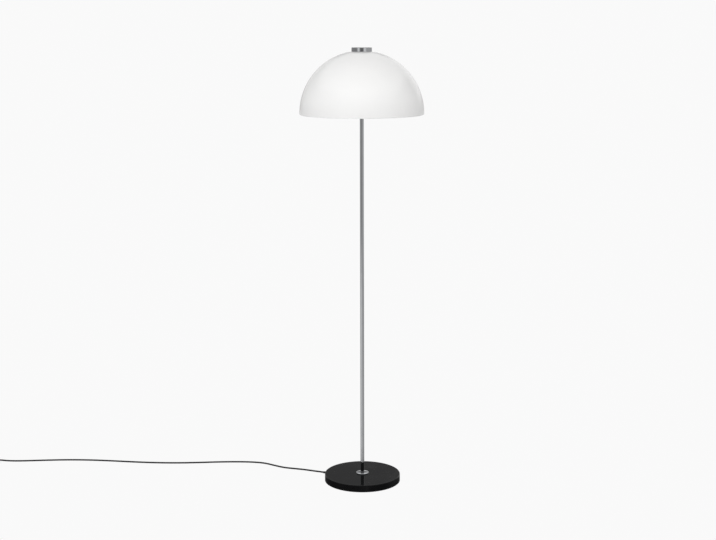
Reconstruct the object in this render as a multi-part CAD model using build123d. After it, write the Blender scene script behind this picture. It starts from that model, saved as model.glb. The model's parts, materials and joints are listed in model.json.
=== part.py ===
from build123d import *
import math
import os

# Mushroom floor lamp, in millimetres, +Z up.
# Origin: centre of the round base where it meets the floor.
# A heavy round base carries a slim tube; a cluster of three lamp holders sits
# on the tube inside a hemispherical opal shade, which hangs on a threaded stem
# and is held down by a screw-on metal cap. The mains cord leaves the base
# through a tapered sleeve and runs over the floor to a foot switch and a plug.

os.makedirs("parts", exist_ok=True)

# ---------------------------------------------------------------- dimensions
# base
BASE_R = 126.0            # outer radius of the cover
BASE_TOP = 24.6           # top face of the base
COVER_Z0 = 0.6            # lower edge of the cover, above the floor
COVER_T = 1.8             # cover thickness
COVER_EDGE = 2.0          # rounding of the upper edge
PAD_T = 1.8               # foot pad
PLATE_T = 1.2             # bottom plate
WEIGHT_R = 123.6
CHAMBER_R = 40.0          # wiring chamber in the weight
WEB_Z = 18.8              # underside of the weight's web over the chamber
FLANGE_R = 20.7           # disc round the foot of the tube
FLANGE_T = 4.0
# stem
POLE_R = 6.5
POLE_RI = 5.0
NIPPLE_R = 5.0            # M10x1 hollow threaded tube
NIPPLE_RI = 3.5
NUT_AF = 14.0
NUT_H = 4.0
# shade
DOME_R = 200.0
DOME_T = 3.0
DOME_CZ = 1228.1          # height of the hemisphere's centre
LIP_R = 2.5               # rounding between wall and turned-in lip
LIP_RI = 190.0            # inner radius of the lip
SEAT_R = 31.0             # flat seat for the cap at the shade's apex
SEAT_Z = 1423.8
STEM_HOLE_R = 5.6
CAP_R = 32.5
CAP_TOP = 1437.0
CAP_Z0 = 1424.2
CAP_T = 2.2
CAP_WALL = 2.0
# lamp holder cluster
HUB_Z0, HUB_Z1 = 1277.5, 1311.5
HUB_R, HUB_RI, HUB_FLAT = 26.0, 19.0, 22.0
HOLDER_Z = 1294.5
HOLDER_AZ = (-90.0, 30.0, 150.0)
THREAD_R = 13.25          # outside of the bulb's screw cap
SHELL_RI = 13.30          # inside of the holder's screw shell
# mains cord
CORD_D = 5.5
LEAD_D = 3.2
EXIT_AZ = 155.0
EXIT_Z = 6.2
GLAND_TIP = 147.0
# foot switch, coil and plug, on the floor beyond the lamp
SW = (-1330.0, 200.0)
SW_R = 32.0
SW_PORT = 40.0
SW_Z = 6.6
COIL_C = (-1436.0, 160.1)
COIL_RM = 30.95           # middle of the winding
COIL_W, COIL_H = 23.5, 11.0
TURN_OUT = 39.9           # middle of the outer turns
TIE_T = 0.8
PLUG_X0 = -1384.0         # cord end of the plug's boot
PLUG_Y, PLUG_Z = 120.2, 7.0


# ------------------------------------------------------------------- helpers
def disc(r, z0, z1, x=0.0, y=0.0):
    return Pos(x, y, (z0 + z1) / 2) * Cylinder(r, z1 - z0)


def ring(r, ri, z0, z1, x=0.0, y=0.0):
    return disc(r, z0, z1, x, y) - disc(ri, z0 - 1, z1 + 1, x, y)


def turned(points):
    """Solid of revolution about Z from (radius, height) corners."""
    face = make_face(Polyline(*[(r, 0, z) for r, z in points], close=True))
    return revolve(face, axis=Axis.Z)


def turned_edges(edges):
    return revolve(make_face(edges), axis=Axis.Z)


def hexnut(af, ri, z0, h):
    body = extrude(RegularPolygon(af / 2, 6, major_radius=False), h)
    return Pos(0, 0, z0) * body - disc(ri, z0 - 1, z0 + h + 1)


def save(shape, name):
    export_step(shape, "parts/" + name + ".step")


def group(solids):
    return Compound(children=list(solids))


def along(az, z=0.0):
    """Placement that turns a piece built along +Z to lie along azimuth az."""
    return Location((0, 0, z)) * Rot(0, 0, az) * Rot(0, 90, 0)


def radial_box(s0, s1, w, z0, z1, az):
    return Rot(0, 0, az) * Pos((s0 + s1) / 2, 0, (z0 + z1) / 2) * Box(s1 - s0, w, z1 - z0)


def polar(s, az, z):
    return (s * math.cos(math.radians(az)), s * math.sin(math.radians(az)), z)


def route_tube(points, d, name, radii=None):
    """Round tube along straight runs joined by tangent arcs."""
    pts = [Vector(*p) for p in points]
    runs = [(b - a).length for a, b in zip(pts, pts[1:])]
    turns = [
        math.radians((b - a).get_angle(c - b)) for a, b, c in zip(pts, pts[1:], pts[2:])
    ]
    if radii is None:
        radii = [
            0.45 * min(runs[i], runs[i + 1]) / math.tan(turns[i] / 2)
            for i in range(len(turns))
        ]
    path = FilletPolyline(*pts, radius=radii)
    start = Plane(origin=path @ 0, z_dir=path % 0)
    tube = sweep(start * Circle(d / 2), path=path)
    want = math.pi * d * d / 4 * path.length
    print(name, "length %.1f" % path.length, "volume/section*length %.4f" % (tube.volume / want))
    print("  runs", [round(r, 1) for r in runs])
    print("  turns", [round(math.degrees(t), 1) for t in turns])
    print("  radii", [round(r, 1) for r in radii])
    return tube


# ---------------------------------------------------------------------- base
pad_top = PAD_T
plate_top = PAD_T + PLATE_T
cover_in_z = BASE_TOP - COVER_T
cover_in_r = BASE_R - COVER_T

foot_pad = ring(119.0, 88.0, 0, pad_top)
save(foot_pad, "base_foot_pad")

SCREW_PCR = 60.0
screw_az = (45, 135, 225, 315)
CLAMP_S = 46.0            # clamp block's centre, from the lamp's axis
CLAMP_DY = 7.0

plate = disc(WEIGHT_R, pad_top, plate_top)
for a in screw_az:
    x, y, _ = polar(SCREW_PCR, a, 0)
    plate -= disc(2.05, pad_top - 1, plate_top + 1, x, y)
plate -= radial_box(118.5, 127, 12, pad_top - 1, plate_top + 1, EXIT_AZ)
for s in (-1, 1):
    plate -= Rot(0, 0, EXIT_AZ) * disc(1.4, pad_top - 1, plate_top + 1, CLAMP_S, s * CLAMP_DY)
save(plate, "base_bottom_plate")

screws = []
for a in screw_az:
    x, y, _ = polar(SCREW_PCR, a, 0)
    s = disc(2.0, pad_top, 12.0, x, y)
    head = disc(3.6, 0.5, pad_top, x, y)
    head -= Pos(x, y, 0.5) * Rot(0, 0, a) * Box(5.2, 0.9, 1.0)
    screws.append(s + head)
save(group(screws), "base_plate_screws")

weight = turned([
    (CHAMBER_R, plate_top), (WEIGHT_R, plate_top), (WEIGHT_R, cover_in_z - 1.0),
    (WEIGHT_R - 1.0, cover_in_z), (5.2, cover_in_z), (5.2, WEB_Z), (CHAMBER_R, WEB_Z),
])
weight -= radial_box(CHAMBER_R - 2, 126, 14, plate_top - 1, 12.4, EXIT_AZ)
weight -= radial_box(CHAMBER_R - 2, CLAMP_S + 7, 24, plate_top - 1, 14.5, EXIT_AZ)
for a in screw_az:
    x, y, _ = polar(SCREW_PCR, a, 0)
    weight -= disc(2.0, plate_top - 1, 13.0, x, y)
save(weight, "base_weight")

e = COVER_EDGE
k = e * (1 - math.sqrt(0.5))
cover = turned_edges([
    Line((cover_in_r, 0, COVER_Z0), (BASE_R, 0, COVER_Z0)),
    Line((BASE_R, 0, COVER_Z0), (BASE_R, 0, BASE_TOP - e)),
    ThreePointArc((BASE_R, 0, BASE_TOP - e), (BASE_R - k, 0, BASE_TOP - k), (BASE_R - e, 0, BASE_TOP)),
    Line((BASE_R - e, 0, BASE_TOP), (5.2, 0, BASE_TOP)),
    Line((5.2, 0, BASE_TOP), (5.2, 0, cover_in_z)),
    Line((5.2, 0, cover_in_z), (cover_in_r, 0, cover_in_z)),
    Line((cover_in_r, 0, cover_in_z), (cover_in_r, 0, COVER_Z0)),
])
cover -= along(EXIT_AZ, EXIT_Z) * disc(4.2, 116, 131)
save(cover, "base_cover")

# tapered sleeve where the cord leaves the base: inner collar, neck, taper
gland = turned([
    (CORD_D / 2, 120.6), (4.9, 120.6), (4.9, 123.7), (4.2, 123.7), (4.2, 126.1),
    (4.8, 126.1), (4.8, 128.0), (4.45, 130.0), (3.3, GLAND_TIP - 0.6),
    (3.1, GLAND_TIP), (CORD_D / 2, GLAND_TIP),
])
save(along(EXIT_AZ, EXIT_Z) * gland, "cord_gland")

# cord clamp and terminal block in the chamber
clamp = Pos(CLAMP_S, 0, (plate_top + 10.6) / 2) * Box(9, 20, 10.6 - plate_top)
clamp -= Pos(CLAMP_S, 0, EXIT_Z) * Rot(0, 90, 0) * Cylinder(CORD_D / 2, 20)
clamp -= Pos(CLAMP_S, 0, (plate_top - 1 + EXIT_Z) / 2) * Box(12, CORD_D, EXIT_Z - plate_top + 1)
for s in (-1, 1):
    clamp -= disc(1.4, 0, 20, CLAMP_S, s * CLAMP_DY)
save(Rot(0, 0, EXIT_AZ) * clamp, "cord_clamp")
clamp_screws = []
for s in (-1, 1):
    b = disc(1.4, pad_top, 10.6, CLAMP_S, s * CLAMP_DY) + disc(2.7, 10.6, 12.4, CLAMP_S, s * CLAMP_DY)
    b -= Pos(CLAMP_S, s * CLAMP_DY, 12.4) * Box(4.2, 0.7, 1.2)
    clamp_screws.append(Rot(0, 0, EXIT_AZ) * b)
save(group(clamp_screws), "cord_clamp_screws")

TB0, TB1 = 13.5, 31.0
block = Pos((TB0 + TB1) / 2, 0, (plate_top + 11.0) / 2) * Box(TB1 - TB0, 14, 11.0 - plate_top)
for s in (-1, 1):
    block -= disc(1.6, 8.5, 12, (TB0 + TB1) / 2 + 4.5, s * 3.5)
    block -= disc(1.6, 8.5, 12, (TB0 + TB1) / 2 - 4.5, s * 3.5)
save(Rot(0, 0, EXIT_AZ) * block, "base_terminal_block")

mains_inner = along(EXIT_AZ, EXIT_Z) * disc(CORD_D / 2, TB1, GLAND_TIP)
save(mains_inner, "mains_cord_inner")

inner_lead = route_tube(
    [polar(TB0, EXIT_AZ, EXIT_Z), (0, 0, EXIT_Z), (0, 0, 1290.5)],
    LEAD_D, "inner_lead", [6.2],
)
save(inner_lead, "inner_lead")

# -------------------------------------------------------------- flange, tube
fz0, fz1 = BASE_TOP, BASE_TOP + FLANGE_T
flange = turned([
    (NIPPLE_R, fz0), (FLANGE_R, fz0), (FLANGE_R, fz1 - 1.5), (FLANGE_R - 0.5, fz1 - 1.0),
    (FLANGE_R - 1.6, fz1 - 0.75), (14.0, fz1 - 0.25), (8.0, fz1), (NIPPLE_R, fz1),
])
save(flange, "pole_flange")

save(ring(NIPPLE_R, NIPPLE_RI, 12.6, 48.0), "bottom_nipple")
save(ring(13.0, 5.2, WEB_Z - 1.5, WEB_Z), "bottom_washer")
save(ring(POLE_R, POLE_RI, fz1, HUB_Z0), "pole_tube")
save(ring(NIPPLE_R, NIPPLE_RI, 1260.5, 1286.0), "pole_top_nipple")

# ------------------------------------------------------- lamp holder cluster
hub = turned([
    (NIPPLE_R, HUB_Z0), (HUB_R - 1.5, HUB_Z0), (HUB_R, HUB_Z0 + 1.5), (HUB_R, HUB_Z1),
    (HUB_RI, HUB_Z1), (HUB_RI, HUB_Z0 + 3), (NIPPLE_R, HUB_Z0 + 3),
])
for a in HOLDER_AZ:
    hub -= radial_box(HUB_FLAT, HUB_R + 4, 60, HUB_Z0 - 1, HUB_Z1 + 1, a)
    hub -= along(a, HOLDER_Z) * disc(NIPPLE_R, 15, 30)
hub_screw_az = [a + 60 for a in HOLDER_AZ]
for a in hub_screw_az:
    x, y, _ = polar(22.4, a, 0)
    hub -= disc(1.5, 1301.5, HUB_Z1 + 1, x, y)
save(hub, "cluster_body")

hub_cover = disc(HUB_R, HUB_Z1, HUB_Z1 + 3.0) - disc(NIPPLE_R, HUB_Z1 - 1, HUB_Z1 + 4)
hub_screws = []
for a in hub_screw_az:
    x, y, _ = polar(22.4, a, 0)
    hub_cover -= disc(1.6, HUB_Z1 - 1, HUB_Z1 + 4, x, y)
    b = disc(1.5, 1302.5, HUB_Z1 + 3, x, y) + disc(2.7, HUB_Z1 + 3, HUB_Z1 + 4.8, x, y)
    b -= Pos(x, y, HUB_Z1 + 4.8) * Rot(0, 0, a) * Box(4.0, 0.7, 1.4)
    b -= Pos(x, y, HUB_Z1 + 4.8) * Rot(0, 0, a + 90) * Box(4.0, 0.7, 1.4)
    hub_screws.append(b)
save(hub_cover, "cluster_cover")
save(group(hub_screws), "cluster_cover_screws")

hub_block = disc(10.0, 1290.5, 1298.5)
for a in hub_screw_az:
    x, y, _ = polar(6.0, a, 0)
    hub_block -= disc(1.5, 1295.5, 1299.5, x, y)
save(hub_block, "cluster_terminal_block")

# one holder and bulb, built along +Z with the lamp's axis at 0
holder_nipple = ring(NIPPLE_R, NIPPLE_RI, 12.8, 32.0)
holder_lead = disc(1.4, 10.3, 33.0)
holder_cap = turned([
    (NIPPLE_R, HUB_FLAT), (12.5, HUB_FLAT), (13.0, HUB_FLAT + 0.5), (13.0, 25.0),
    (17.5, 29.0), (19.4, 31.0), (20.0, 33.5), (20.0, 44.0), (18.2, 44.0), (18.2, 34.0),
    (16.5, 31.0), (NIPPLE_R, 27.5),
])
holder_insert = turned([(2.2, 33.0), (17.4, 33.0), (17.4, 43.0), (15.2, 46.0), (2.2, 46.0)])
screw_shell = turned([
    (SHELL_RI, 46.0), (SHELL_RI + 0.5, 46.0), (SHELL_RI + 0.5, 68.5), (SHELL_RI, 68.5),
])
contact = turned([(0, 46.0), (5.0, 46.0), (5.0, 46.6), (3.0, 48.9), (0, 48.9)])
holder_skirt = turned([
    (18.2, 44.0), (20.3, 44.0), (20.3, 56.0), (19.6, 57.0), (19.2, 66.0), (18.0, 71.0),
    (17.4, 72.0), (14.6, 72.0), (14.6, 70.2), (16.4, 70.2), (17.6, 65.0), (18.2, 56.0),
])
bulb_cap = turned([
    (0, 49.0), (4.6, 49.0), (4.6, 50.0), (9.0, 52.4), (12.0, 52.8), (THREAD_R, 54.5),
    (THREAD_R, 73.5), (THREAD_R - 0.6, 73.5), (THREAD_R - 0.6, 54.9), (11.6, 53.6),
    (8.8, 53.3), (4.0, 51.2), (0, 51.2),
])
bulb_collar = turned([
    (THREAD_R - 0.6, 73.5), (THREAD_R + 0.25, 73.5), (THREAD_R + 0.25, 76.5), (17.2, 82.5),
    (20.6, 88.5), (21.9, 92.0), (20.4, 92.0), (19.2, 89.0), (15.8, 83.2),
    (THREAD_R - 0.6, 77.5),
])
GLOBE_R = 22.5
gz = 92.0 + math.sqrt(GLOBE_R ** 2 - 21.9 ** 2)
gi = GLOBE_R - 1.4
globe_end = gz + GLOBE_R
zi = gz - math.sqrt(gi ** 2 - 20.4 ** 2)
q = math.sqrt(0.5)
bulb_globe = turned_edges([
    Line((20.4, 0, 92.0), (21.9, 0, 92.0)),
    ThreePointArc((21.9, 0, 92.0), (GLOBE_R * q, 0, gz + GLOBE_R * q), (0, 0, globe_end)),
    Line((0, 0, globe_end), (0, 0, gz + gi)),
    ThreePointArc((0, 0, gz + gi), (gi * q, 0, gz + gi * q), (20.4, 0, zi)),
    Line((20.4, 0, zi), (20.4, 0, 92.0)),
])

save(group(along(a, HOLDER_Z) * holder_nipple for a in HOLDER_AZ), "holder_nipples")
save(group(along(a, HOLDER_Z) * holder_lead for a in HOLDER_AZ), "holder_leads")
save(group(along(a, HOLDER_Z) * holder_cap for a in HOLDER_AZ), "holder_caps")
save(group(along(a, HOLDER_Z) * holder_skirt for a in HOLDER_AZ), "holder_skirts")
save(group(along(a, HOLDER_Z) * holder_insert for a in HOLDER_AZ), "holder_inserts")
save(group(along(a, HOLDER_Z) * screw_shell for a in HOLDER_AZ), "screw_shells")
save(group(along(a, HOLDER_Z) * contact for a in HOLDER_AZ), "centre_contacts")
for i, a in enumerate(HOLDER_AZ, 1):
    save(along(a, HOLDER_Z) * bulb_cap, "bulb_screw_cap_%d" % i)
    save(along(a, HOLDER_Z) * bulb_collar, "bulb_collar_%d" % i)
    save(along(a, HOLDER_Z) * bulb_globe, "bulb_globe_%d" % i)

# --------------------------------------------------------- stem, shade, cap
apex_in = SEAT_Z - DOME_T
seat_top = apex_in - 2.0
seat_z0 = seat_top - 2.0
gasket_top = SEAT_Z + 2.8
washer_top = gasket_top + 0.8
stem_top = 1433.1

save(ring(NIPPLE_R, NIPPLE_RI, 1306.0, stem_top), "stem_upper")

shade_seat = turned([
    (5.2, seat_z0), (22.5, seat_z0), (24.0, seat_z0 + 0.8), (24.0, seat_top), (5.2, seat_top),
])
save(shade_seat, "shade_seat")
save(ring(22.0, STEM_HOLE_R, seat_top, apex_in), "shade_gasket_lower")


# the seat runs out into the sphere through an arc that touches both
seat_h = SEAT_Z - DOME_CZ
BLEND_R = (DOME_R ** 2 - SEAT_R ** 2 - seat_h ** 2) / (2 * (DOME_R - seat_h))
blend_c = SEAT_Z - BLEND_R
blend_a = math.atan2(SEAT_R, blend_c - DOME_CZ)


def on_sphere(rad, a):
    return (rad * math.sin(a), 0, DOME_CZ + rad * math.cos(a))


def on_blend(rad, a):
    return (SEAT_R + rad * math.sin(a), 0, blend_c + rad * math.cos(a))


print("seat blend radius %.2f, meets the sphere at r %.2f" % (BLEND_R, DOME_R * math.sin(blend_a)))
ri = DOME_R - DOME_T
bi = BLEND_R - DOME_T
side = (blend_a + math.pi / 2) / 2
rim_z = DOME_CZ - LIP_R
lip_in_z = DOME_CZ + 0.2
q = math.sqrt(0.5)
lip_ri_sphere = math.sqrt(ri * ri - 0.2 * 0.2)
dome = turned_edges([
    Line((STEM_HOLE_R, 0, SEAT_Z), (SEAT_R, 0, SEAT_Z)),
    ThreePointArc((SEAT_R, 0, SEAT_Z), on_blend(BLEND_R, blend_a / 2), on_sphere(DOME_R, blend_a)),
    ThreePointArc(on_sphere(DOME_R, blend_a), on_sphere(DOME_R, side), (DOME_R, 0, DOME_CZ)),
    ThreePointArc((DOME_R, 0, DOME_CZ), (DOME_R - LIP_R * (1 - q), 0, DOME_CZ - LIP_R * q),
                  (DOME_R - LIP_R, 0, rim_z)),
    Line((DOME_R - LIP_R, 0, rim_z), (LIP_RI + 0.9, 0, rim_z)),
    ThreePointArc((LIP_RI + 0.9, 0, rim_z), (LIP_RI, 0, (rim_z + lip_in_z) / 2),
                  (LIP_RI + 0.9, 0, lip_in_z)),
    Line((LIP_RI + 0.9, 0, lip_in_z), (lip_ri_sphere, 0, lip_in_z)),
    ThreePointArc((lip_ri_sphere, 0, lip_in_z), on_sphere(ri, side), on_sphere(ri, blend_a)),
    ThreePointArc(on_sphere(ri, blend_a), on_blend(bi, blend_a / 2), (SEAT_R, 0, apex_in)),
    Line((SEAT_R, 0, apex_in), (STEM_HOLE_R, 0, apex_in)),
    Line((STEM_HOLE_R, 0, apex_in), (STEM_HOLE_R, 0, SEAT_Z)),
])
save(dome, "dome_shade")

save(ring(16.0, STEM_HOLE_R, SEAT_Z, gasket_top), "shade_gasket_upper")
save(ring(14.0, 5.4, gasket_top, washer_top), "cap_slip_washer")

cap_in = CAP_TOP - CAP_T
save(ring(9.0, NIPPLE_R + 0.05, washer_top, cap_in), "cap_bush")
f = 0.8
kf = f * (1 - q)
cap = turned_edges([
    Line((CAP_R - CAP_WALL, 0, CAP_Z0), (CAP_R - 0.4, 0, CAP_Z0)),
    Line((CAP_R - 0.4, 0, CAP_Z0), (CAP_R, 0, CAP_Z0 + 0.4)),
    Line((CAP_R, 0, CAP_Z0 + 0.4), (CAP_R, 0, CAP_TOP - f)),
    ThreePointArc((CAP_R, 0, CAP_TOP - f), (CAP_R - kf, 0, CAP_TOP - kf), (CAP_R - f, 0, CAP_TOP)),
    Line((CAP_R - f, 0, CAP_TOP), (0, 0, CAP_TOP)),
    Line((0, 0, CAP_TOP), (0, 0, cap_in)),
    Line((0, 0, cap_in), (CAP_R - CAP_WALL, 0, cap_in)),
    Line((CAP_R - CAP_WALL, 0, cap_in), (CAP_R - CAP_WALL, 0, CAP_Z0)),
])
save(cap, "cap")

# hexagon nuts on the threaded tubes: under the base web, on top of the tube,
# under the cluster cover, under the shade seat, and one inside each holder
nuts = [
    hexnut(NUT_AF, NIPPLE_R, WEB_Z - 1.5 - NUT_H, NUT_H),
    hexnut(NUT_AF, NIPPLE_R, HUB_Z0 + 3, NUT_H),
    hexnut(NUT_AF, NIPPLE_R, HUB_Z1 - NUT_H, NUT_H),
    hexnut(NUT_AF, NIPPLE_R, seat_z0 - NUT_H, NUT_H),
]
for a in HOLDER_AZ:
    nuts.append(along(a, HOLDER_Z) * hexnut(NUT_AF, NIPPLE_R, 13.4, 3.0))
save(group(nuts), "nipple_nuts")

# ------------------------------------------------------------ cord, free run
tip = polar(GLAND_TIP, EXIT_AZ, EXIT_Z)
h = CORD_D / 2
ROUTE_RUN = [
    tip,
    polar(GLAND_TIP + 11.0, EXIT_AZ, EXIT_Z),
    (-160.0, 77.0, 4.9),
    (-180.0, 91.0, 3.2),
    (-207.5, 103.2, h),
    (-238.5, 112.2, h),
    (-271.0, 122.6, h),
    (-304.0, 145.0, h),
    (-338.5, 170.8, h),
    (-378.0, 182.0, h),
    (-432.0, 186.5, h),
    (-500.0, 185.0, h),
    (-575.0, 178.0, h),
    (-650.0, 174.5, h),
    (-728.0, 178.0, h),
    (-805.0, 187.5, h),
    (-882.0, 200.0, h),
    (-958.0, 209.5, h),
    (-1036.0, 212.5, h),
    (-1112.0, 208.0, h),
    (-1172.0, 202.4, h),
    (-1214.0, 200.2, h + 0.1),
    (-1246.0, 199.7, h + 1.2),
    (-1270.0, 200.0, SW_Z),
    (SW[0] + SW_PORT, SW[1], SW_Z),
]
cord_run = route_tube(ROUTE_RUN, CORD_D, "cord_run")
save(cord_run, "cord_run")

# ------------------------------------------------------------- foot switch
sw_x, sw_y = SW
at = Pos(sw_x, sw_y, 0)
sw_base = turned([
    (0, 0), (SW_R - 0.8, 0), (SW_R, 0.8), (SW_R, 9.0), (SW_R - 2, 9.0), (SW_R - 2, 2.0), (0, 2.0),
])
for s in (-1, 1):
    sw_base += disc(4.5, 1.0, 4.0, 0, s * 23)
    sw_base -= disc(3.0, -1, 1.8, 0, s * 23)
    sw_base -= disc(1.6, 1, 5, 0, s * 23)
    sw_base -= Rot(0, 0, 90 - s * 90) * (Pos(SW_R - 1, 0, SW_Z) * Rot(0, 90, 0) * Cylinder(3.6, 8))
save(at * sw_base, "footswitch_base")

sw_cover = turned([
    (SW_R - 2, 9.0), (SW_R, 9.0), (SW_R, 12.0), (SW_R - 1.2, 14.6), (SW_R - 3.6, 17.4),
    (25.0, 20.0), (20.5, 22.4), (18.0, 23.0), (15.35, 23.0), (15.35, 21.0), (18.4, 21.0),
    (23.6, 18.4), (27.0, 15.8), (29.2, 13.2), (30.0, 11.5),
])
for s in (-1, 1):
    post = disc(3.0, 4.0, 17.6, 0, s * 23) - disc(1.5, 3.0, 13.0, 0, s * 23)
    sw_cover += post
    sw_cover -= Rot(0, 0, 90 - s * 90) * (Pos(SW_R - 1, 0, SW_Z) * Rot(0, 90, 0) * Cylinder(3.6, 8))
save(at * sw_cover, "footswitch_cover")

sw_screws = []
for s in (-1, 1):
    b = disc(2.8, 0.4, 1.8, 0, s * 23) + disc(1.5, 1.8, 12.0, 0, s * 23)
    b -= Pos(0, s * 23, 0.4) * Box(4.2, 0.7, 0.9)
    sw_screws.append(at * b)
save(group(sw_screws), "footswitch_screws")

button = turned([
    (0, 18.9), (17.0, 18.9), (17.0, 20.9), (15.0, 20.9), (15.0, 25.2), (14.5, 26.1),
    (13.3, 26.8), (11.0, 27.1), (0, 27.1),
])
save(at * button, "footswitch_button")
save(at * disc(3.05, 10.6, 18.9), "footswitch_plunger")
mech = Pos(0, 0, 7.0) * Box(22, 16, 10.0) - disc(3.10, 6.0, 14.0)
save(at * mech, "footswitch_mechanism")

boots = []
for s in (-1, 1):
    b = turned([
        (h, 27.4), (4.3, 27.4), (4.3, 29.5), (3.6, 29.5), (3.6, 32.15), (4.5, 32.15),
        (4.5, 33.6), (3.3, SW_PORT - 0.5), (3.1, SW_PORT), (h, SW_PORT),
    ])
    boots.append(at * along(90 - s * 90, SW_Z) * b)
save(group(boots), "footswitch_boots")

# ------------------------------------------------- tail, coil, tie and plug
cx, cy = COIL_C
coil_r_out = COIL_RM + COIL_W / 2
coil_z0 = TIE_T
turn_out = TURN_OUT
ROUTE_TAIL = [
    (sw_x - SW_PORT, sw_y, SW_Z),
    (sw_x - SW_PORT - 10.0, sw_y, SW_Z),
    (sw_x - SW_PORT - 23.0, sw_y + 0.4, 5.2),
    (sw_x - SW_PORT - 37.0, sw_y + 0.3, 3.8),
    (cx + 13.0, cy + turn_out, coil_z0 + h),
]
cord_tail = route_tube(ROUTE_TAIL, CORD_D, "cord_tail")
save(cord_tail, "cord_tail")

coil = ring(coil_r_out, COIL_RM - COIL_W / 2, coil_z0, coil_z0 + COIL_H, cx, cy)
coil = chamfer(coil.edges().filter_by(GeomType.CIRCLE), 1.6)
save(coil, "cord_coil")

# band round the winding on its far side
tie_in = Pos(0, 0, 0) * Box(COIL_W, 12, COIL_H)
tie = Box(COIL_W + 2 * TIE_T, 9.0, COIL_H + 2 * TIE_T) - tie_in
tie_r = COIL_RM
tie = Pos(cx - tie_r, cy, coil_z0 + COIL_H / 2) * tie
tie -= coil
save(tie, "coil_tie")

ROUTE_END = [
    (cx + 13.0, cy - turn_out, coil_z0 + CORD_D + h),
    (cx + 22.0, cy - turn_out - 0.3, 8.5),
    (cx + 31.5, cy - turn_out - 0.2, 7.5),
    (PLUG_X0 - 9.0, PLUG_Y, PLUG_Z),
    (PLUG_X0, PLUG_Y, PLUG_Z),
]
cord_end = route_tube(ROUTE_END, CORD_D, "cord_end")
save(cord_end, "cord_end")

# two-pin plug lying flat: boot, flat body with rounded sides, pins
px = PLUG_X0
boot = Pos(px, PLUG_Y, PLUG_Z) * Rot(0, 90, 0) * turned([
    (0, 0), (3.2, 0), (3.5, 1.0), (5.2, 16.0), (6.2, 19.0), (0, 19.0),
])
bx0, bx1 = px + 18.0, px + 53.0
plate_body = extrude(
    Plane(origin=(bx0, PLUG_Y, PLUG_Z), x_dir=(0, 1, 0), z_dir=(1, 0, 0))
    * RectangleRounded(26.0, 13.6, 5.5),
    bx1 - bx0,
)
front_edges = plate_body.edges().group_by(Axis.X)[-1]
back_edges = plate_body.edges().group_by(Axis.X)[0]
plate_body = chamfer(front_edges, 0.8)
plate_body = chamfer(plate_body.edges().group_by(Axis.X)[0], 3.0)
plug_body = boot + plate_body
save(plug_body, "plug_body")
pins = []
for s in (-1, 1):
    p = turned([(0, 0), (2.0, 0), (2.0, 17.2), (1.2, 19.0), (0, 19.0)])
    pins.append(Pos(bx1, PLUG_Y + s * 9.5, PLUG_Z) * Rot(0, 90, 0) * p)
save(group(pins), "plug_pins")
leads = []
for s in (-1, 1):
    leads.append(at * along(90 - s * 90, SW_Z) * disc(h, 11.0, SW_PORT))
save(group(leads), "footswitch_leads")
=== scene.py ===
import bpy
import json
import math
from mathutils import Matrix, Vector


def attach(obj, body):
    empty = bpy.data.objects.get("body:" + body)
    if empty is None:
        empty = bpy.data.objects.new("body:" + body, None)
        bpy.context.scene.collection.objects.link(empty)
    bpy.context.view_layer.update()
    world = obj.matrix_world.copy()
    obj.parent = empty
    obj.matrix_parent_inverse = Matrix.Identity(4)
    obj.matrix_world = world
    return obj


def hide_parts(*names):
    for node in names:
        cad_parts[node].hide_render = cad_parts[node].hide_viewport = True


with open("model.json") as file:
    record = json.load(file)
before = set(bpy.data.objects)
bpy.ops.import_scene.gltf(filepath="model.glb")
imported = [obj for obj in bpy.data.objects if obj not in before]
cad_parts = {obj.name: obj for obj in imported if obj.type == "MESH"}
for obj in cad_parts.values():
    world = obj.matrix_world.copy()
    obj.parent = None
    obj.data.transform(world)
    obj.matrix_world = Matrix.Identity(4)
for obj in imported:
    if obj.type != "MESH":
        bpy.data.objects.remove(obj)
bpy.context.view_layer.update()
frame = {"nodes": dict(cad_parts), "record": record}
MM = 0.001
scene = bpy.context.scene

# ------------------------------------------------------------------ sizes, mm
BASE_R, BASE_TOP, COVER_Z0 = 126.0, 24.6, 0.6
FLANGE_R = 20.7
POLE_R, POLE_RI = 6.5, 5.0
DOME_R, DOME_T, DOME_CZ, LIP_R, LIP_RI = 200.0, 3.0, 1228.1, 2.5, 190.0
SEAT_R, SEAT_Z, STEM_HOLE_R = 31.0, 1423.8, 5.6
CAP_R, CAP_TOP, CAP_Z0, CAP_T, CAP_WALL = 32.5, 1437.0, 1424.2, 2.2, 2.0
HOLDER_Z = 1294.5
HOLDER_AZ = (-90.0, 30.0, 150.0)
CORD_D = 5.5
EXIT_AZ, EXIT_Z, GLAND_TIP = 155.0, 6.2, 147.0
SW = (-1330.0, 200.0)
SW_R, SW_PORT, SW_Z = 32.0, 40.0, 6.6
TURN_OUT, TURN_IN = 39.9, 22.0
COIL_C = (-1436.0, 160.1)
COIL_Z0 = 0.8
PLUG_X0, PLUG_Y, PLUG_Z = -1384.0, 120.2, 7.0


def polar(s, az, z):
    return (s * math.cos(math.radians(az)), s * math.sin(math.radians(az)), z)


# -------------------------------------------------------------------- camera
cam_data = bpy.data.cameras.new("camera")
cam = bpy.data.objects.new("camera", cam_data)
scene.collection.objects.link(cam)
cam_data.sensor_fit = "HORIZONTAL"
cam_data.sensor_width = 36.0
cam_data.lens = 69.01
cam_data.clip_start, cam_data.clip_end = 0.05, 100.0
cam.location = (-0.0133, -4.415, 1.534)
look = Matrix.Rotation(math.radians(90.0 - 10.467), 3, "X") @ Matrix.Rotation(math.radians(-0.129), 3, "Z")
cam.rotation_euler = look.to_euler()
scene.camera = cam
scene.view_settings.view_transform = "Standard"
scene.view_settings.look = "None"
scene.view_settings.exposure = 0.0
scene.view_settings.gamma = 1.0


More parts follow.
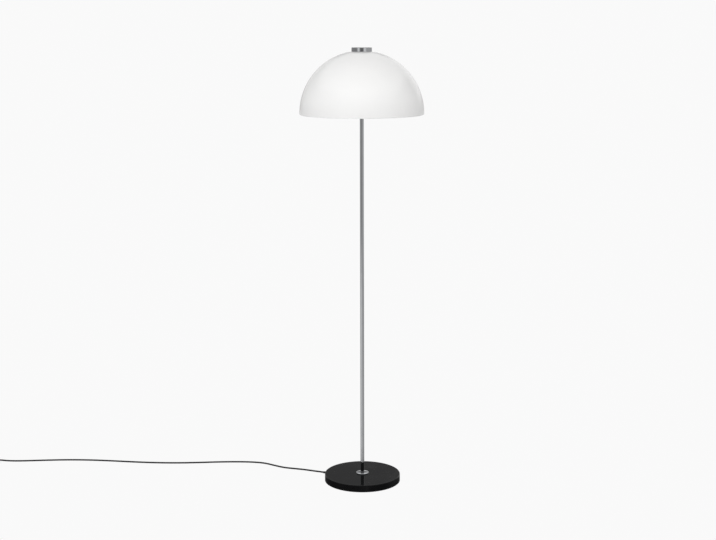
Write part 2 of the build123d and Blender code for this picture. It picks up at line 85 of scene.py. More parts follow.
# ----------------------------------------------------------------- materials
class Mat:
    """A node material: the shader's plain numbers go on its own sockets."""

    def __init__(self, name, color, rough, metal=0.0, **sockets):
        self.mat = bpy.data.materials.new(name)
        self.mat.use_nodes = True
        self.t = self.mat.node_tree
        self.b = self.t.nodes["Principled BSDF"]
        self.b.inputs["Base Color"].default_value = (*color, 1.0)
        self.b.inputs["Roughness"].default_value = rough
        self.b.inputs["Metallic"].default_value = metal
        for k, v in sockets.items():
            self.b.inputs[k.replace("_", " ")].default_value = v
        self.co = self.t.nodes.new("ShaderNodeTexCoord").outputs["Object"]
        self.height = None

    def node(self, kind, **props):
        n = self.t.nodes.new(kind)
        for k, v in props.items():
            setattr(n, k, v)
        return n

    def link(self, a, b):
        self.t.links.new(a, b)

    def noise(self, scale, detail=3.0, rough=0.55, stretch=None, distortion=0.0):
        n = self.node("ShaderNodeTexNoise")
        n.inputs["Scale"].default_value = scale
        n.inputs["Detail"].default_value = detail
        n.inputs["Roughness"].default_value = rough
        n.inputs["Distortion"].default_value = distortion
        src = self.co
        if stretch:
            m = self.node("ShaderNodeMapping")
            m.inputs["Scale"].default_value = stretch
            self.link(src, m.inputs["Vector"])
            src = m.outputs["Vector"]
        self.link(src, n.inputs["Vector"])
        return n.outputs["Fac"]

    def span(self, fac, lo, hi, a=0.0, b=1.0, smooth=True):
        n = self.node("ShaderNodeMapRange")
        n.interpolation_type = "SMOOTHSTEP" if smooth else "LINEAR"
        n.inputs["From Min"].default_value = lo
        n.inputs["From Max"].default_value = hi
        n.inputs["To Min"].default_value = a
        n.inputs["To Max"].default_value = b
        self.link(fac, n.inputs["Value"])
        return n.outputs["Result"]

    def math(self, op, a, b=None, c=None):
        n = self.node("ShaderNodeMath", operation=op)
        for i, v in enumerate((a, b, c)):
            if v is None:
                continue
            if isinstance(v, (int, float)):
                n.inputs[i].default_value = v
            else:
                self.link(v, n.inputs[i])
        return n.outputs[0]

    def mix(self, fac, c1, c2):
        n = self.node("ShaderNodeMix", data_type="RGBA")
        self.link(fac, n.inputs[0])
        for i, c in ((6, c1), (7, c2)):
            if isinstance(c, tuple):
                n.inputs[i].default_value = (*c, 1.0)
            else:
                self.link(c, n.inputs[i])
        return n.outputs[2]

    def color(self, socket):
        self.link(socket, self.b.inputs["Base Color"])
        return self

    def rough(self, socket):
        self.link(socket, self.b.inputs["Roughness"])
        return self

    def bump(self, height, strength, distance):
        n = self.node("ShaderNodeBump")
        n.inputs["Strength"].default_value = strength
        n.inputs["Distance"].default_value = distance
        self.link(height, n.inputs["Height"])
        if self.height is not None:
            self.link(self.height, n.inputs["Normal"])
        self.height = n.outputs["Normal"]
        self.link(self.height, self.b.inputs["Normal"])
        return self

    def sep(self):
        n = self.node("ShaderNodeSeparateXYZ")
        self.link(self.co, n.inputs[0])
        return n.outputs

    def polar_angle(self, cx=0.0, cy=0.0):
        x, y, _ = self.sep()
        return self.math("ARCTAN2", self.math("SUBTRACT", y, cy), self.math("SUBTRACT", x, cx))


def mat_chrome():
    m = Mat("polished_chrome", (0.60, 0.61, 0.625), 0.045, 1.0)
    smudge = m.noise(22.0, 4.0, 0.6)
    fine = m.noise(900.0, 2.0, 0.5)
    r = m.math("ADD", m.span(smudge, 0.45, 0.72, 0.03, 0.085), m.span(fine, 0.35, 0.75, 0.0, 0.02))
    m.rough(r)
    m.color(m.mix(m.span(smudge, 0.4, 0.75), (0.61, 0.62, 0.635), (0.575, 0.585, 0.60)))
    m.bump(m.noise(1500.0, 2.0), 0.02, 0.00002)
    m.bump(m.noise(60.0, 2.0), 0.03, 0.0001)
    return m.mat


def mat_enamel():
    m = Mat("black_enamel", (0.006, 0.006, 0.0065), 0.07, 0.0, IOR=1.36)
    smudge = m.noise(14.0, 5.0, 0.62)
    dust = m.noise(700.0, 2.0, 0.5)
    specks = m.span(dust, 0.74, 0.80)
    m.rough(m.math("ADD", m.span(smudge, 0.42, 0.74, 0.05, 0.13), m.math("MULTIPLY", specks, 0.25)))
    m.color(m.mix(specks, (0.006, 0.006, 0.0065), (0.018, 0.018, 0.018)))
    m.bump(m.noise(320.0, 2.0, 0.5), 0.05, 0.00012)
    m.bump(m.noise(30.0, 2.0, 0.5), 0.02, 0.0006)
    return m.mat


BULBS = [polar(98.0, a, HOLDER_Z) for a in HOLDER_AZ]


def mat_opal():
    """Opal acrylic with painted light behind it: a painted emission glow, stronger beside the bulbs, weaker at the
    rim and the apex.
    """
    m = Mat("opal_acrylic", (0.80, 0.80, 0.795), 0.16, 0.0, IOR=1.49)
    m.b.inputs["Subsurface Weight"].default_value = 0.25
    m.b.inputs["Subsurface Radius"].default_value = (0.010, 0.010, 0.0098)
    m.b.inputs["Subsurface Scale"].default_value = 1.0
    m.b.inputs["Coat Weight"].default_value = 0.35
    m.b.inputs["Coat Roughness"].default_value = 0.09
    m.b.inputs["Coat IOR"].default_value = 1.49
    # painted glow: emission lobes round each bulb stand in for bulb light passing through the shell
    painted_glow = None
    for p in BULBS:
        d = m.node("ShaderNodeVectorMath", operation="DISTANCE")
        m.link(m.co, d.inputs[0])
        d.inputs[1].default_value = tuple(c * MM for c in p)
        one = m.span(d.outputs["Value"], 0.07, 0.27, 1.0, 0.0)
        painted_glow = one if painted_glow is None else m.math("MAXIMUM", painted_glow, one)
    x, y, z = m.sep()
    # painted glow falloff by height: less emission near the rim (low) and near the apex (high), summed in band
    low = m.span(z, 1.225, 1.281, 0.0, 1.0)
    high = m.span(z, 1.348, 1.43, 1.0, 0.0)
    # slight random unevenness in the painted glow
    cloud = m.noise(9.0, 3.0, 0.5)
    band = m.math("ADD", m.math("MULTIPLY", low, 0.07), m.math("MULTIPLY", high, 0.02))
    e = m.math("ADD", m.math("MULTIPLY", painted_glow, GLOW_LOBE), m.math("ADD", band, GLOW_BASE))
    e = m.math("MULTIPLY", e, m.span(cloud, 0.3, 0.7, 0.985, 1.015))
    # warm tint of the painted glow
    m.b.inputs["Emission Color"].default_value = (1.0, 0.992, 0.975, 1.0)
    m.link(e, m.b.inputs["Emission Strength"])
    m.rough(m.span(m.noise(18.0, 4.0, 0.6), 0.4, 0.75, 0.13, 0.22))
    m.bump(m.noise(40.0, 2.0), 0.04, 0.0004)
    m.bump(m.noise(600.0, 2.0), 0.03, 0.00005)
    return m.mat


# strengths of the painted glow on the shade: the even part and the part round the bulbs
GLOW_BASE, GLOW_LOBE = 0.10, 0.06


def mat_bulb():
    m = Mat("bulb_opal", (0.86, 0.85, 0.82), 0.35)
    m.b.inputs["Emission Color"].default_value = (1.0, 0.955, 0.88, 1.0)
    n = m.noise(60.0, 2.0)
    m.link(m.span(n, 0.3, 0.7, 2.4, 2.6), m.b.inputs["Emission Strength"])
    m.rough(m.span(m.noise(300.0, 2.0), 0.3, 0.7, 0.3, 0.42))
    m.bump(m.noise(1600.0, 2.0), 0.1, 0.00003)
    return m.mat


def mat_plastic(name, color, color2, lo, hi, grain, strength, depth, sheen=None, **kw):
    m = Mat(name, color, (lo + hi) / 2, 0.0, **kw)
    soft = m.noise(35.0, 4.0, 0.6)
    m.color(m.mix(m.span(soft, 0.35, 0.75), color, color2))
    m.rough(m.span(m.noise(55.0, 4.0, 0.6), 0.35, 0.75, lo, hi))
    m.bump(m.noise(grain, 3.0, 0.6), strength, depth)
    return m.mat


def mat_metal(name, color, color2, lo, hi, brushed=None, strength=0.05, depth=0.00004):
    m = Mat(name, color, (lo + hi) / 2, 1.0)
    soft = m.noise(40.0, 4.0, 0.62)
    m.color(m.mix(m.span(soft, 0.35, 0.72), color, color2))
    m.rough(m.span(m.noise(70.0, 4.0, 0.6), 0.35, 0.75, lo, hi))
    m.bump(m.noise(1200.0, 3.0, 0.6, stretch=brushed), strength, depth)
    return m.mat


def mat_iron():
    m = Mat("cast_iron", (0.075, 0.075, 0.08), 0.6, 0.65)
    n = m.noise(160.0, 6.0, 0.7)
    m.color(m.mix(m.span(m.noise(26.0, 5.0, 0.65), 0.45, 0.75), (0.075, 0.075, 0.08), (0.13, 0.085, 0.06)))
    m.rough(m.span(n, 0.3, 0.7, 0.48, 0.78))
    m.bump(n, 0.5, 0.0004)
    return m.mat


def mat_felt():
    m = Mat("felt", (0.03, 0.03, 0.031), 0.95)
    m.b.inputs["Sheen Weight"].default_value = 0.35
    m.b.inputs["Sheen Roughness"].default_value = 0.5
    fibre = m.noise(1400.0, 5.0, 0.75, distortion=1.5)
    m.color(m.mix(m.span(fibre, 0.35, 0.7), (0.018, 0.018, 0.019), (0.06, 0.06, 0.06)))
    m.bump(fibre, 0.7, 0.00035)
    return m.mat


def mat_cord():
    m = Mat("cord_sheath", (0.012, 0.012, 0.013), 0.5)
    soft = m.noise(28.0, 4.0, 0.6)
    dust = m.noise(420.0, 3.0, 0.6)
    m.color(m.mix(m.span(dust, 0.58, 0.78), (0.011, 0.011, 0.012), (0.03, 0.03, 0.031)))
    m.rough(m.span(soft, 0.35, 0.75, 0.42, 0.62))
    m.bump(m.noise(1800.0, 3.0, 0.6), 0.12, 0.00005)
    m.bump(m.noise(120.0, 2.0, 0.5), 0.08, 0.0003)
    return m.mat


def mat_strap():
    m = Mat("strap_weave", (0.02, 0.02, 0.021), 0.85)
    w = m.node("ShaderNodeTexWave", wave_type="BANDS", bands_direction="DIAGONAL")
    w.inputs["Scale"].default_value = 420.0
    w.inputs["Distortion"].default_value = 1.5
    m.link(m.co, w.inputs["Vector"])
    m.color(m.mix(w.outputs["Fac"], (0.012, 0.012, 0.013), (0.045, 0.045, 0.047)))
    m.bump(w.outputs["Fac"], 0.6, 0.0002)
    m.b.inputs["Sheen Weight"].default_value = 0.2
    return m.mat


MATS = {
    "chrome": mat_chrome(),
    "black_gloss": mat_enamel(),
    "opal": mat_opal(),
    "bulb_opal": mat_bulb(),
    "white_plastic": mat_plastic("white_plastic", (0.78, 0.78, 0.76), (0.72, 0.715, 0.69), 0.28, 0.42, 900.0, 0.06, 0.00005),
    "porcelain": mat_plastic("porcelain", (0.80, 0.79, 0.75), (0.75, 0.735, 0.69), 0.12, 0.26, 150.0, 0.08, 0.0002),
    "zinc": mat_metal("zinc_plate", (0.50, 0.51, 0.53), (0.40, 0.405, 0.40), 0.24, 0.42, strength=0.12),
    "nickel": mat_metal("nickel", (0.60, 0.585, 0.56), (0.52, 0.505, 0.48), 0.12, 0.24),
    "brass": mat_metal("brass", (0.62, 0.44, 0.17), (0.45, 0.30, 0.11), 0.2, 0.38, strength=0.08),
    "iron": mat_iron(),
    "felt": mat_felt(),
    "silicone": mat_plastic("silicone", (0.62, 0.62, 0.60), (0.55, 0.55, 0.53), 0.4, 0.55, 700.0, 0.05, 0.00005),
    "nylon": mat_plastic("nylon", (0.70, 0.69, 0.64), (0.64, 0.63, 0.58), 0.4, 0.55, 500.0, 0.08, 0.00006),
    "black_pvc": mat_cord(),
    "lead_sleeve": mat_plastic("lead_sleeve", (0.6, 0.6, 0.57), (0.52, 0.52, 0.49), 0.4, 0.55, 800.0, 0.08, 0.00005),
    "black_plastic": mat_plastic("black_moulding", (0.014, 0.014, 0.015), (0.022, 0.022, 0.023), 0.38, 0.55, 1500.0, 0.35, 0.00012),
    "black_button": mat_plastic("black_button", (0.022, 0.022, 0.023), (0.03, 0.03, 0.031), 0.22, 0.34, 900.0, 0.08, 0.00005),
}
STRAP = mat_strap()

# every carried-over node gets its slot's finish
slot_of = {s["node"]: s["material_slot"] for s in frame["record"]["subparts"]}
for name, obj in frame["nodes"].items():
    mat = MATS[slot_of[name]]
    if not obj.data.materials:
        obj.data.materials.append(mat)
    for ms in obj.material_slots:
        ms.material = mat


# ------------------------------------------------------------------- meshing
def arc(cx, cz, r, a0, a1, n):
    """Profile points on an arc, angles in degrees from +r towards +z."""
    return [
        (cx + r * math.cos(math.radians(a0 + (a1 - a0) * i / n)),
         cz + r * math.sin(math.radians(a0 + (a1 - a0) * i / n)))
        for i in range(n + 1)
    ]


def ease(points, r, n=3, closed=True):
    """Rounds a profile's corners by up to r."""
    out = []
    m = len(points)
    for i in range(m):
        if not closed and i in (0, m - 1):
            out.append(points[i])
            continue
        p0, p1, p2 = (Vector(points[(i + k) % m]) for k in (-1, 0, 1))
        a, b = p0 - p1, p2 - p1
        if a.length < 1e-6 or b.length < 1e-6 or abs(p1.x) < 1e-6:
            out.append(tuple(p1))
            continue
        turn = math.pi - a.angle(b)
        if turn < math.radians(12):
            out.append(tuple(p1))
            continue
        k = min(r * math.tan(turn / 2), 0.42 * a.length, 0.42 * b.length)
        s, e = p1 + a.normalized() * k, p1 + b.normalized() * k
        for j in range(n + 1):
            t = j / n
            q = s * (1 - t) ** 2 + p1 * 2 * t * (1 - t) + e * t * t
            out.append((q.x, q.y))
    return out


def lathe_data(profile, segs=96, closed=True, place=None, shape=None, at=(0.0, 0.0)):
    """Vertices and faces of a turned form, in metres. profile: (radius, height) in mm. shape(i, angle, r, z) gives another (radius, height)."""
    verts, faces, rows = [], [], []
    for i, (r, z) in enumerate(profile):
        if r < 1e-6:
            rows.append([len(verts)])
            verts.append(Vector((0, 0, z)))
            continue
        row = []
        for k in range(segs):
            a = 2 * math.pi * k / segs
            rr, zz = shape(i, a, r, z) if shape else (r, z)
            row.append(len(verts))
            verts.append(Vector((rr * math.cos(a), rr * math.sin(a), zz)))
        rows.append(row)
    n = len(rows)
    for i in range(n if closed else n - 1):
        p, q = rows[i], rows[(i + 1) % n]
        if len(p) == 1 and len(q) == 1:
            continue
        for k in range(segs):
            k2 = (k + 1) % segs
            if len(p) == 1:
                faces.append((p[0], q[k2], q[k]))
            elif len(q) == 1:
                faces.append((p[k], p[k2], q[0]))
            else:
                faces.append((p[k], p[k2], q[k2], q[k]))
    out = []
    for v in verts:
        w = place @ v if place else v
        out.append((w.x * MM + at[0] * MM, w.y * MM + at[1] * MM, w.z * MM))
    return out, faces


def area_sign(profile):
    s = 0.0
    for (r0, z0), (r1, z1) in zip(profile, profile[1:] + profile[:1]):
        s += r0 * z1 - r1 * z0
    return s


def make(name, parts, mat, sharp=32.0):
    """One object from several (vertices, faces) lists."""
    verts, faces = [], []
    for v, f in parts:
        k = len(verts)
        verts += v
        faces += [tuple(i + k for i in face) for face in f]
    me = bpy.data.meshes.new(name)
    me.from_pydata(verts, [], faces)
    me.validate()
    import bmesh
    bm = bmesh.new()
    bm.from_mesh(me)
    bmesh.ops.recalc_face_normals(bm, faces=bm.faces[:])
    bm.to_mesh(me)
    bm.free()
    me.shade_smooth()
    me.set_sharp_from_angle(angle=math.radians(sharp))
    me.materials.append(mat)
    obj = bpy.data.objects.new(name, me)
    scene.collection.objects.link(obj)
    return obj


def lathe(name, profile, mat, segs=96, closed=True, place=None, shape=None, at=(0.0, 0.0), sharp=32.0):
    return make(name, [lathe_data(profile, segs, closed, place, shape, at)], mat, sharp)


def stands_for(obj, body, *nodes, slot=None):
    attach(obj, body)
    if nodes:
        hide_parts(*nodes)
    return obj


def along(az, z):
    """Turns a piece built along +Z to lie along azimuth az at height z (mm)."""
    a = math.radians(az)
    m = Matrix.Translation((0, 0, z)) @ Matrix.Rotation(a, 4, "Z") @ Matrix.Rotation(math.pi / 2, 4, "Y")
    return m


def toward(x, y, z, az):
    return Matrix.Translation((x, y, z)) @ Matrix.Rotation(math.radians(az), 4, "Z") @ Matrix.Rotation(math.pi / 2, 4, "Y")


def subdivide_line(p, q, n):
    return [(p[0] + (q[0] - p[0]) * i / n, p[1] + (q[1] - p[1]) * i / n) for i in range(1, n)]


# --------------------------------------------------------------------- shade
ri = DOME_R - DOME_T
seat_h = SEAT_Z - DOME_CZ
blend_r = (DOME_R ** 2 - SEAT_R ** 2 - seat_h ** 2) / (2 * (DOME_R - seat_h))
blend_c = SEAT_Z - blend_r
blend_a = math.degrees(math.atan2(blend_c - DOME_CZ, SEAT_R))
outer = [(STEM_HOLE_R, SEAT_Z), (14.0, SEAT_Z), (24.0, SEAT_Z)] + arc(SEAT_R, blend_c, blend_r, 90, blend_a, 10) + arc(0, DOME_CZ, DOME_R, blend_a, 0, 80)[1:]
corner = arc(DOME_R - LIP_R, DOME_CZ, LIP_R, 0, -90, 8)[1:]
lip = [(LIP_RI + 1.35 + 3.0, DOME_CZ - LIP_R)] + arc(LIP_RI + 1.35, DOME_CZ - LIP_R + 1.35, 1.35, -90, -270, 8)
fillet_c = (ri - 2.2, DOME_CZ + 0.2 + 2.2)
inner = (arc(fillet_c[0], fillet_c[1], 2.2, -90, -8, 6) + arc(0, DOME_CZ, ri, 1.2, blend_a, 78)
         + arc(SEAT_R, blend_c, blend_r - DOME_T, blend_a, 90, 8)[1:] + [(20.0, SEAT_Z - DOME_T), (STEM_HOLE_R, SEAT_Z - DOME_T)])
shade = lathe("shade", outer + corner + lip + inner, MATS["opal"], segs=256, sharp=50)
stands_for(shade, "stand", "dome_shade")

# ----------------------------------------------------------------------- cap
cap_in = CAP_TOP - CAP_T
cap_profile = (
    [(0, CAP_TOP)] + [(r, CAP_TOP) for r in (8, 16, 24, 29)]
    + arc(CAP_R - 0.8, CAP_TOP - 0.8, 0.8, 90, 0, 7)
    + [(CAP_R, CAP_TOP - 0.95), (CAP_R, CAP_TOP - 4), (CAP_R, CAP_Z0 + 4), (CAP_R, CAP_Z0 + 0.65)]
    + arc(CAP_R - 0.5, CAP_Z0 + 0.5, 0.5, 0, -90, 4)
    + [(CAP_R - CAP_WALL + 0.3, CAP_Z0), (CAP_R - CAP_WALL, CAP_Z0 + 0.3)]
    + [(CAP_R - CAP_WALL, cap_in - 1.0)] + arc(CAP_R - CAP_WALL - 1.0, cap_in - 1.0, 1.0, 0, 90, 4)
    + [(20, cap_in), (9.5, cap_in), (0, cap_in)]
)
cap = lathe("cap_shell", cap_profile, MATS["chrome"], segs=160, closed=False, sharp=40)
stands_for(cap, "cap", "cap")

# ---------------------------------------------------------------------- tube
fz1 = 28.6
pole_profile = ease(
    [(POLE_R, fz1), (POLE_R, 1277.5), (POLE_RI, 1277.5), (POLE_RI, fz1)], 0.25, 2)
tall = []
for (a, b) in zip(pole_profile, pole_profile[1:] + pole_profile[:1]):
    tall.append(a)
    if abs(a[1] - b[1]) > 500:
        step = 0.5 if b[1] > a[1] else -0.5
        lo, hi = (a[0], a[1] + step), (b[0], b[1] - step)
        tall += [lo] + subdivide_line(lo, hi, 12) + [hi]
pole = lathe("tube", tall, MATS["chrome"], segs=96)
stands_for(pole, "stand", "pole_tube")

# foot disc: slightly domed top, sharp little land, rounded edge
flange_profile = (
    [(5.0, 24.6), (FLANGE_R - 0.3, 24.6)] + arc(FLANGE_R - 0.3, 24.9, 0.3, -90, 0, 3)[1:]
    + [(FLANGE_R, 25.05), (FLANGE_R, 26.95)] + arc(FLANGE_R - 0.5, 27.1, 0.5, 0, 62, 5)
    + [(19.2, 27.82), (17.4, 28.08), (15.4, 28.28), (13.2, 28.43), (11.0, 28.53), (9.0, 28.58), (7.4, 28.6), (5.0, 28.6)]
)
flange = lathe("foot_disc", flange_profile, MATS["chrome"], segs=128, sharp=50)
stands_for(flange, "stand", "pole_flange")

# ---------------------------------------------------------------------- base
ci = BASE_R - 1.8
cover_profile = (
    [(5.2, BASE_TOP), (30, BASE_TOP), (60, BASE_TOP), (90, BASE_TOP), (112, BASE_TOP), (121, BASE_TOP)]
    + arc(BASE_R - 2.2, BASE_TOP - 2.2, 2.2, 90, 0, 10)
    + [(BASE_R, BASE_TOP - 2.4), (BASE_R, 16.0), (BASE_R, 6.0), (BASE_R, COVER_Z0 + 0.9)]
    + arc(BASE_R - 0.7, COVER_Z0 + 0.7, 0.7, 0, -90, 4)
    + [(ci + 0.3, COVER_Z0), (ci, COVER_Z0 + 0.3), (ci, 12.0), (ci, BASE_TOP - 1.8), (100, BASE_TOP - 1.8), (5.2, BASE_TOP - 1.8)]
)
cover = lathe("base_shell", cover_profile, MATS["black_gloss"], segs=320, sharp=40)
stands_for(cover, "stand", "base_cover")

pad_profile = ease([(119.0, 0.0), (119.0, 1.8), (88.0, 1.8), (88.0, 0.0)], 0.5, 3)
pad = lathe("foot_ring", pad_profile, MATS["felt"], segs=256)
stands_for(pad, "stand", "base_foot_pad")

# strain relief: collar, neck and a taper of rings with gaps between them
gl = [(CORD_D / 2, 120.6), (4.9, 120.6), (4.9, 123.7), (4.2, 123.7), (4.2, 126.05), (4.8, 126.05), (4.8, 128.2)]
s, r = 128.2, 4.55
while s < GLAND_TIP - 2.6:
    gl += [(r, s + 0.1), (r, s + 1.9), (r - 0.75, s + 2.05), (r - 0.75, s + 2.85)]
    s += 2.95
    r -= 0.2
gl += [(3.3, s + 0.1), (3.25, GLAND_TIP - 0.5), (3.0, GLAND_TIP), (CORD_D / 2, GLAND_TIP)]
gland = lathe("strain_relief", ease(gl, 0.25, 2), MATS["black_pvc"], segs=48, place=along(EXIT_AZ, EXIT_Z))
stands_for(gland, "stand", "cord_gland")


# ------------------------------------------------------------ lamp holders
def fluted(lo, hi, count, depth, sharp=2.0):
    def f(i, a, r, z):
        if lo <= z <= hi:
            edge = min(1.0, (z - lo) / 1.2, (hi - z) / 1.2)
            r -= depth * edge * (0.5 - 0.5 * math.cos(count * a)) ** sharp
        return r, z
    return f


def threaded(lo, hi, pitch, depth):
    def f(i, a, r, z):
        if lo <= z <= hi:
            edge = max(0.0, min(1.0, (z - lo) / 2.0, (hi - z) / 2.0))
            r -= depth * edge * (0.5 - 0.5 * math.cos(2 * math.pi * (z / pitch - a / (2 * math.pi))))
        return r, z
    return f


cap_p = ease([
    (5.0, 22.0), (13.0, 22.0), (13.0, 25.0), (17.5, 29.0), (19.4, 31.0), (20.0, 33.5),
    (20.0, 44.0), (18.2, 44.0), (18.2, 34.0), (16.5, 31.0), (5.0, 27.5)], 0.6, 3)
skirt_z = [57.0 + i * 1.5 for i in range(7)]
skirt_p = (
    ease([(18.2, 44.0), (20.3, 44.0), (20.3, 56.0), (19.6, 57.0)], 0.5, 3, closed=False)
    + [(19.6 - 0.4 * (z - 57) / 9, z) for z in skirt_z[1:]]
    + [(19.0, 67.5), (18.5, 69.5), (18.0, 71.0), (17.4, 72.0), (14.9, 72.0), (14.6, 71.7),
       (14.6, 70.2), (16.4, 70.2), (17.6, 65.0), (18.2, 56.0)]
)
collar_p = ease([
    (12.65, 73.5), (13.5, 73.5), (13.5, 76.5), (17.2, 82.5), (20.6, 88.5), (21.9, 92.0),
    (20.4, 92.0), (19.2, 89.0), (15.8, 83.2), (12.65, 77.5)], 0.7, 3)
fine = []
for p, q in zip(collar_p, collar_p[1:] + collar_p[:1]):
    fine.append(p)
    d = math.hypot(q[0] - p[0], q[1] - p[1])
    if d > 1.4:
        fine += subdivide_line(p, q, int(d / 1.2) + 1)
collar_p = fine
GLOBE_R = 22.5
gz = 92.0 + math.sqrt(GLOBE_R ** 2 - 21.9 ** 2)
gi = GLOBE_R - 1.4
a0 = -math.degrees(math.asin((gz - 92.0) / GLOBE_R))
globe_p = (
    arc(0, gz, GLOBE_R, a0, 90, 30)[:-1] + [(0, gz + GLOBE_R), (0, gz + gi)]
    + arc(0, gz, gi, 90, -math.degrees(math.acos(20.4 / gi)), 28)[1:] + [(20.4, 92.0)]
)
screw_cap_p = (
    [(0, 49.0), (3.6, 49.0), (4.4, 49.25), (4.6, 49.7), (4.6, 50.0), (9.0, 52.4), (12.0, 52.8), (12.8, 53.4)]
    + [(13.25, 54.2 + 0.45 * i) for i in range(0, 42)]
    + [(13.25, 73.5), (12.65, 73.5), (12.45, 72.5), (12.2, 56.0), (11.6, 53.6), (8.8, 53.3), (4.0, 51.2), (0, 51.2)]
)
shell_p = (
    [(13.31, 46.0 + 0.5 * i) for i in range(46)][::-1]
    + [(13.8, 46.0 + 0.5 * i) for i in range(46)]
)
for i, az in enumerate(HOLDER_AZ, 1):
    at = along(az, HOLDER_Z)
    o = lathe("holder_cap_%d" % i, cap_p, MATS["white_plastic"], segs=72, place=at)
    stands_for(o, "stand", "holder_caps")
    o = lathe("holder_skirt_%d" % i, skirt_p, MATS["white_plastic"], segs=144, place=at,
              shape=fluted(57.0, 67.2, 24, 0.55))
    stands_for(o, "stand", "holder_skirts")
    o = lathe("bulb_collar_v%d" % i, collar_p, MATS["white_plastic"], segs=144, place=at,
              shape=lambda k, a, r, z: (r - (0.5 * min(1, (z - 77) / 2, (91 - z) / 2) * (0.5 - 0.5 * math.cos(18 * a)) ** 3
                                             if 77 < z < 91 and r > 13.6 + (z - 77) * 0.45 else 0), z))
    stands_for(o, "bulb_%d" % i, "bulb_collar_%d" % i)
    o = lathe("bulb_globe_v%d" % i, globe_p, MATS["bulb_opal"], segs=96, closed=True, place=at, sharp=50)
    stands_for(o, "bulb_%d" % i, "bulb_globe_%d" % i)
    o = lathe("bulb_cap_v%d" % i, screw_cap_p, MATS["nickel"], segs=72, closed=False, place=at,
              shape=threaded(54.4, 72.4, 3.6, 0.9))
    stands_for(o, "bulb_%d" % i, "bulb_screw_cap_%d" % i)

# threaded stem: real turns of thread
stem_z = [1306.0 + 0.25 * i for i in range(int((1433.1 - 1306.0) / 0.25) + 1)]
stem_p = [(5.0, z) for z in stem_z] + [(4.6, 1433.1), (3.5, 1433.1), (3.5, 1306.0), (4.6, 1306.0)]
stem = lathe("stem_thread", stem_p, MATS["zinc"], segs=32, shape=lambda i, a, r, z: (
    (r - 0.42 * (0.5 - 0.5 * math.cos(2 * math.pi * (z - a / (2 * math.pi)))) if r > 4.9 else r), z), sharp=60)
stands_for(stem, "stand", "stem_upper")

# ------------------------------------------------------------------- cords
tip = polar(GLAND_TIP, EXIT_AZ, EXIT_Z)
h = CORD_D / 2
ROUTE_RUN = [
    tip,
    polar(GLAND_TIP + 11.0, EXIT_AZ, EXIT_Z),
    (-160.0, 77.0, 4.9),
    (-180.0, 91.0, 3.2),
    (-207.5, 103.2, h),
    (-238.5, 112.2, h),
    (-271.0, 122.6, h),
    (-304.0, 145.0, h),
    (-338.5, 170.8, h),
    (-378.0, 182.0, h),
    (-432.0, 186.5, h),
    (-500.0, 185.0, h),
    (-575.0, 178.0, h),
    (-650.0, 174.5, h),
    (-728.0, 178.0, h),
    (-805.0, 187.5, h),
    (-882.0, 200.0, h),
    (-958.0, 209.5, h),
    (-1036.0, 212.5, h),
    (-1112.0, 208.0, h),
    (-1172.0, 202.4, h),
    (-1214.0, 200.2, h + 0.1),
    (-1246.0, 199.7, h + 1.2),
    (-1270.0, 200.0, SW_Z),
    (SW[0] + SW_PORT, SW[1], SW_Z),
]
sw_x, sw_y = SW
cx, cy = COIL_C
ROUTE_TAIL = [
    (sw_x - SW_PORT, sw_y, SW_Z),
    (sw_x - SW_PORT - 10.0, sw_y, SW_Z),
    (sw_x - SW_PORT - 23.0, sw_y + 0.4, 5.2),
    (sw_x - SW_PORT - 37.0, sw_y + 0.3, 3.8),
    (cx + 13.0, cy + TURN_OUT, COIL_Z0 + h),
]
ROUTE_END = [
    (cx + 13.0, cy - TURN_OUT, COIL_Z0 + CORD_D + h),
    (cx + 22.0, cy - TURN_OUT - 0.3, 8.5),
    (cx + 31.5, cy - TURN_OUT - 0.2, 7.5),
    (PLUG_X0 - 9.0, PLUG_Y, PLUG_Z),
    (PLUG_X0, PLUG_Y, PLUG_Z),
]
TURNS, PER_TURN = 6.5, 14
N = int(TURNS * PER_TURN)
coil = []
for k in range(N + 1):
    u = k / N
    a = math.radians(90.0) + 2 * math.pi * TURNS * u
    inward = min(u, 1 - u) * 2
    r = (TURN_OUT + (TURN_IN - TURN_OUT) * inward) / 0.9749
    up = max(0.0, min(1.0, (u - 0.5) * N / 6 + 0.5))
    up = up * up * (3 - 2 * up)
    wob = 0.25 * math.sin(2.3 * a + 0.7) + 0.2 * math.sin(0.61 * a)
    coil.append((cx + (r + wob) * math.cos(a), cy + (r + wob) * math.sin(a), COIL_Z0 + h + CORD_D * up))
coil[0] = (cx, cy + TURN_OUT, coil[0][2])
coil[-1] = (cx, cy - TURN_OUT, coil[-1][2])


def cord_curve(name, points, d, mat):
    cu = bpy.data.curves.new(name, "CURVE")
    cu.dimensions = "3D"
    sp = cu.splines.new("NURBS")
    sp.points.add(len(points) - 1)
    for p, q in zip(sp.points, points):
        p.co = (q[0] * MM, q[1] * MM, q[2] * MM, 1.0)
    sp.order_u = 3
    sp.use_endpoint_u = True
    sp.resolution_u = 12
    cu.bevel_depth = d / 2 * MM
    cu.bevel_resolution = 6
    cu.use_fill_caps = True
    cu.materials.append(mat)
    o = bpy.data.objects.new(name, cu)
    scene.collection.objects.link(o)
    return o


cord_a = cord_curve("cord_lamp_to_switch", ROUTE_RUN, CORD_D, MATS["black_pvc"])
stands_for(cord_a, "stand", "cord_run")
cord_b = cord_curve("cord_switch_to_plug", ROUTE_TAIL[:-1] + [ROUTE_TAIL[-1]] + coil + ROUTE_END, CORD_D, MATS["black_pvc"])
stands_for(cord_b, "stand", "cord_tail", "cord_coil", "cord_end")

